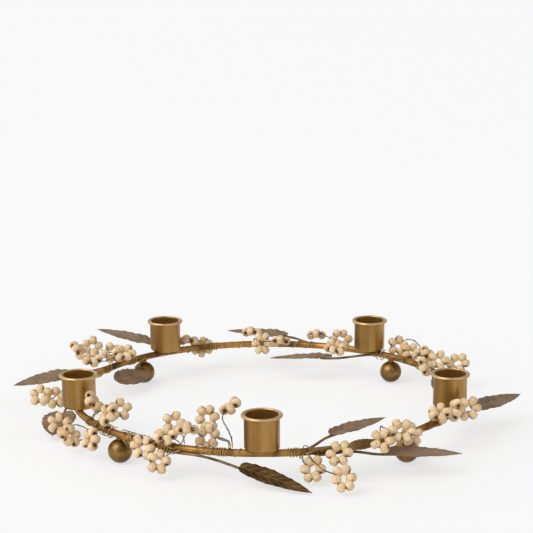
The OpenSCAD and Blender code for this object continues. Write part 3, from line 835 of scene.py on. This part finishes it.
# %% Wind the binding wire
# Each wire's start and end in degrees from the front, and its turns. The tight ones lie on bare stretches
# of the rod. The slack ones stand a little off it, most of them in the tangle at the left front foot.
TIGHT_BINDINGS = [
    (-18.5, -13.5, 2), (-9.2, -5.5, 1.2), (-43, -32, 2.5), (-54, -47.5, 2), (-86, -78, 2), (37, 43, 2),
    (62.5, 67, 1.5), (78, 84, 1.5), (91, 111, 4), (140, 148, 2), (165, 178, 3), (-176, -168, 2),
    (-154, -149.5, 1.5), (-120, -99, 4)]
SLACK_BINDINGS = [
    (-53, -49, 2.5), (-41, -35, 3.2), (-34, -30, 1.6), (138, 140.5, 1.5),
    (-43, -37, 1.7), (-42, -38, -1.3), (-50, -46.5, 1.2), (9, 13, -1.2)]
TIGHT, SLACK = 0.0031, 0.0045
bindings = [(*row, TIGHT) for row in TIGHT_BINDINGS] + [(*row, SLACK) for row in SLACK_BINDINGS]
for k, (start, end, turns, reach) in enumerate(bindings, 1):
    values = {"Start": math.radians(start), "End": math.radians(end), "Turns": float(turns), "Reach": reach,
              "Paint": gold_wire}
    binding = bake("binding_wire_%d" % k, bpy.data.meshes.new("binding"), wind_tree, values)
    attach(binding, BODY)
print("binding wires:", len(bindings))

# %% [markdown]
# ## The leaves
# A leaf is cut from sheet metal and pressed, so that a midrib and slanting side veins stand up and its edge
# ripples, with a low tooth where each vein ends. The blade follows a rule: a blunt base, the widest part
# near the base and a long tip. So it is made as a grid over that rule, with the same settings as the packed
# leaf and a little more width towards the tip. Its UV map runs from base to tip and from edge to edge, and
# the paint follows it.

# %% Leaf settings
LEAF_LEN = 0.056
LEAF_W = 0.016
LEAF_T = 0.0006
LEAF_RIPPLE = 0.0005
# Angle of the base, out and up from the rod in mm, heading, rise, roll, length share, width share
LEAF_SETTINGS = [
    (-108, 18, 1.5, -64, -3, -22, 0.9, 0.95),
    (-145.5, 25, 2, -113, 9, -15, 1.03, 0.9),
    (-114, -12.8, -5.5, 144, -6, 42, 0.9, 1.08),
    (174, 15, 4, -106, 2, -15, 1, 0.85),
    (154, -24, -2, -93, 0, -3, 0.95, 0.95),
    (77, 14, -3, 129, 4, 14, 0.97, 1.1),
    (20.8, -14, 6.5, 122, 7, 12, 0.88, 0.85),
    (32, 12, -4, 94, -0.5, 10, 1.03, 1.05),
    (-6, 2, -10, 61, -8, 32, 1.05, 0.84),
    (-80.5, 10, -9, -8, -12, 3, 0.58, 1.75),
    (23.5, 4.9, 2.4, 116, 0, 62, 0.5, 0.5),
    (100.5, -12, 1.5, 1, -1.5, -34, 0.82, 0.7),
]


def leaf_frame(setting):
    """Base point of a leaf, and the directions of its left side, its tip and its upper face."""
    angle, out, up, heading, rise, roll = setting[:6]
    base = on_ring(angle, RING_R + out * MM, RING_Z + up * MM)
    h, r, t = (math.radians(v) for v in (heading, rise, roll))
    tip = Vector((math.sin(h) * math.cos(r), -math.cos(h) * math.cos(r), math.sin(r)))
    left = Vector((math.cos(h), math.sin(h), 0))
    top = tip.cross(left)
    return base, left * math.cos(t) + top * math.sin(t), tip, top * math.cos(t) - left * math.sin(t)


LEAST_WIDTH, BLUNT_BASE, WIDEST_BY, FULLNESS = 0.05, 0.02, 0.68, 0.66


def leaf_half(s):
    """Half the width of a leaf at a share of its length, as a share of its full width."""
    swell = np.maximum(0, np.sin(np.pi * np.minimum(1, s + BLUNT_BASE) ** WIDEST_BY))
    return np.maximum(LEAST_WIDTH, swell ** FULLNESS) / 2


# %% Leaf blades
ALONG = 121
ACROSS = 21
VEINS = 8
SLANT = 0.16
VEIN_WIDTH = 0.16
TOOTH_SHARE = 0.08
EDGE_CURL = 0.00035
SAG_SHARE, CUP_SHARE = -0.03, 0.1
VEIN_RISE, RIB_RISE, RIB_WIDTH = 0.00016, 0.00022, 0.07


def ridge(phase, width):
    """A rounded ridge once in every whole step of the phase."""
    way = np.abs(phase - np.round(phase))
    return np.exp(-(way / width) ** 2)


def towards_tip(s, steepness):
    """1 along most of the leaf, running down to 0 at its tip."""
    return np.clip((1 - s) * steepness, 0, 1)


def leaf_blade(name, setting):
    """One leaf: an upper and a lower sheet of points, closed round the edge."""
    base, left, tip, top = (np.array(v) for v in leaf_frame(setting))
    length, width = LEAF_LEN * setting[6], LEAF_W * setting[7]
    s, side = np.meshgrid(np.linspace(0, 1, ALONG), np.linspace(-1, 1, ACROSS), indexing="ij")
    tooth = np.mod(VEINS * (s - SLANT), 1) * towards_tip(s, 6)
    x = side * width * leaf_half(s) * (1 - TOOTH_SHARE * tooth * np.abs(side) ** 3)
    bend = SAG_SHARE * length * s * s + CUP_SHARE * width * np.abs(side) * (1 - s)
    ripple = LEAF_RIPPLE * side * np.sin(6 * np.pi * s) * (1 - s)
    fade = towards_tip(s, 5) * np.clip(1.15 - np.abs(side), 0, 1)
    curl = EDGE_CURL * np.abs(side) ** 3 * np.sin(2 * np.pi * (VEINS * (s - SLANT)) + side) * (1 - s)
    veins = VEIN_RISE * ridge(VEINS * (s - SLANT * np.abs(side)), VEIN_WIDTH) * fade
    midrib = RIB_RISE * np.exp(-(side / RIB_WIDTH) ** 2) * towards_tip(s, 4)
    z = bend + ripple + curl + veins + midrib
    half_thick = np.sqrt(np.clip(1 - np.abs(side) ** 8, 0.04, 1)) * LEAF_T / 2
    sheet = base + np.outer(x.ravel(), left) + np.outer((length * s).ravel(), tip)
    upper = sheet + np.outer((z + half_thick).ravel(), top)
    lower = sheet + np.outer((z - half_thick).ravel(), top)
    count = ALONG * ACROSS
    quads = []
    for i in range(ALONG - 1):
        for j in range(ACROSS - 1):
            a = i * ACROSS + j
            quads.append((a, a + ACROSS, a + ACROSS + 1, a + 1))
            quads.append((count + a, count + a + 1, count + a + ACROSS + 1, count + a + ACROSS))
        rim = ((i * ACROSS, (i + 1) * ACROSS), ((i + 2) * ACROSS - 1, (i + 1) * ACROSS - 1))
        for a, b in rim:
            quads.append((a, count + a, count + b, b))
    for j in range(ACROSS - 1):
        last = (ALONG - 1) * ACROSS + j
        quads.append((j + 1, count + j + 1, count + j, j))
        quads.append((last, count + last, count + last + 1, last + 1))
    mesh = bpy.data.meshes.new(name)
    mesh.from_pydata(np.concatenate([upper, lower]).tolist(), [], quads)
    places = np.tile(np.stack([s.ravel(), (side.ravel() + 1) / 2], 1), (2, 1))
    corners = np.empty(len(mesh.loops), int)
    mesh.loops.foreach_get("vertex_index", corners)
    mesh.uv_layers.new(name="leaf_map").data.foreach_set("uv", places[corners].astype(np.float32).ravel())
    mesh.shade_smooth()
    piece = bpy.data.objects.new(name, mesh)
    bpy.context.scene.collection.objects.link(piece)
    return piece


# %% [markdown]
# ## Leaf paint
# The leaves are a grey brown bronze, drawn with fine streaks that run from base to tip. The big front leaf
# is much darker, and its veins are picked out in gold, as on cast bronze. One group finds the veins from
# the UV map and each paint mixes its own colours there.

# %% Vein group and leaf paints
leaf_veins, v_in, v_out = shader_group(
    "leaf_veins",
    [("Veins", "NodeSocketFloat", float(VEINS)), ("Slant", "NodeSocketFloat", SLANT),
     ("Thickness", "NodeSocketFloat", VEIN_WIDTH)],
    [("Vein", "NodeSocketFloat"), ("Streak", "NodeSocketFloat"), ("Edge", "NodeSocketFloat")])
leaf_at = add(leaf_veins, "ShaderNodeUVMap", {"uv_map": "leaf_map"}).outputs[0]
leaf_uv = add(leaf_veins, "ShaderNodeSeparateXYZ", Vector=leaf_at)
mid_way = add(leaf_veins, "ShaderNodeMath", {"operation": "MULTIPLY_ADD"}, i0=leaf_uv.outputs["Y"], i1=2.0,
              i2=-1.0)
mid_off = calculate(leaf_veins, "ABSOLUTE", mid_way.outputs[0])
slanted = calculate(leaf_veins, "MULTIPLY", mid_off, v_in.outputs["Slant"])
phase = calculate(leaf_veins, "SUBTRACT", leaf_uv.outputs["X"], slanted)
steps = calculate(leaf_veins, "MULTIPLY", phase, v_in.outputs["Veins"])
zigzag = calculate(leaf_veins, "PINGPONG", steps, 0.5)
side_vein = remap(leaf_veins, zigzag, v_in.outputs["Thickness"], 0.0, interpolation_type="SMOOTHSTEP")
rib = remap(leaf_veins, mid_off, 0.1, 0.02, interpolation_type="SMOOTHSTEP")
vein = calculate(leaf_veins, "MAXIMUM", side_vein, rib)
drawn_uv = multiply_parts(leaf_veins, leaf_at, (2.2, 26.0, 1.0))
streak = add(leaf_veins, "ShaderNodeTexNoise", Vector=drawn_uv, Scale=1.0, Detail=5.0, Roughness=0.65)
edge = remap(leaf_veins, mid_off, 0.82, 1.0)
leaf_veins.links.new(vein, v_out.inputs["Vein"])
leaf_veins.links.new(streak.outputs[0], v_out.inputs["Streak"])
leaf_veins.links.new(edge, v_out.inputs["Edge"])


def leaf_paint(name, light, dark, vein_colour, vein_share, metallic):
    """A streaked metal whose veins show in their own colour, by the vein share."""
    material, tree, shader = start_material(name, Metallic=metallic)
    at = add(tree, "ShaderNodeTexCoord").outputs["Object"]
    lines = add(tree, "ShaderNodeGroup", {"node_tree": leaf_veins})
    coat = use_patina(tree, at, light, dark, 70.0, 900.0)
    streaked = remap(tree, lines.outputs["Streak"], 0.4, 0.62, 0.0, 0.6)
    drawn = mix_colours(tree, streaked, coat.outputs["Color"], dark)
    shown = calculate(tree, "MULTIPLY", lines.outputs["Vein"], vein_share)
    veined = mix_colours(tree, shown, drawn, vein_colour)
    # The blade is darker towards its edge.
    edge_darkening = calculate(tree, "MULTIPLY", lines.outputs["Edge"], 0.5)
    edged = mix_colours(tree, edge_darkening, veined, dark)
    tree.links.new(edged, shader.inputs["Base Color"])
    tree.links.new(rough_by(tree, coat.outputs["Mask"], 0.6, 0.42), shader.inputs["Roughness"])
    add_bump(tree, shader, lines.outputs["Streak"], 0.35, 0.0002)
    return material


taupe = leaf_paint("taupe_leaf", (0.38, 0.25, 0.155, 1), (0.20, 0.125, 0.07, 1),
                   (0.45, 0.32, 0.19, 1), 0.3, 0.35)
dark_bronze = leaf_paint("dark_bronze_leaf", (0.17, 0.085, 0.025, 1), (0.065, 0.032, 0.01, 1),
                         (0.42, 0.25, 0.08, 1), 0.35, 0.75)
gold_brown = leaf_paint("gold_brown_leaf", (0.40, 0.24, 0.09, 1), (0.15, 0.085, 0.03, 1),
                        (0.48, 0.30, 0.12, 1), 0.3, 0.7)
OTHER_PAINT = {9: dark_bronze, 11: gold_brown}
for k, setting in enumerate(LEAF_SETTINGS, 1):
    blade = leaf_blade("leaf_blade_%d" % k, setting)
    blade.data.materials.append(OTHER_PAINT.get(k, taupe))
    hand_over(blade, "leaf_%d" % k)
print("leaves:", len(LEAF_SETTINGS), "with", VEINS, "side veins each")

# %% [markdown]
# ## Finish
# The picture keeps plain colours, so the view transform is Standard. The last step compares the dressed
# model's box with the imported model's box, because looks must not change the size.

# %% Compare the sizes and finish
bpy.context.scene.view_settings.view_transform = "Standard"
low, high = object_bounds()
grown_low = [round((a - b) / MM, 2) for a, b in zip(cad_low, low)]
grown_high = [round((b - a) / MM, 2) for a, b in zip(cad_high, high)]
print("grown by mm:", grown_low, grown_high)
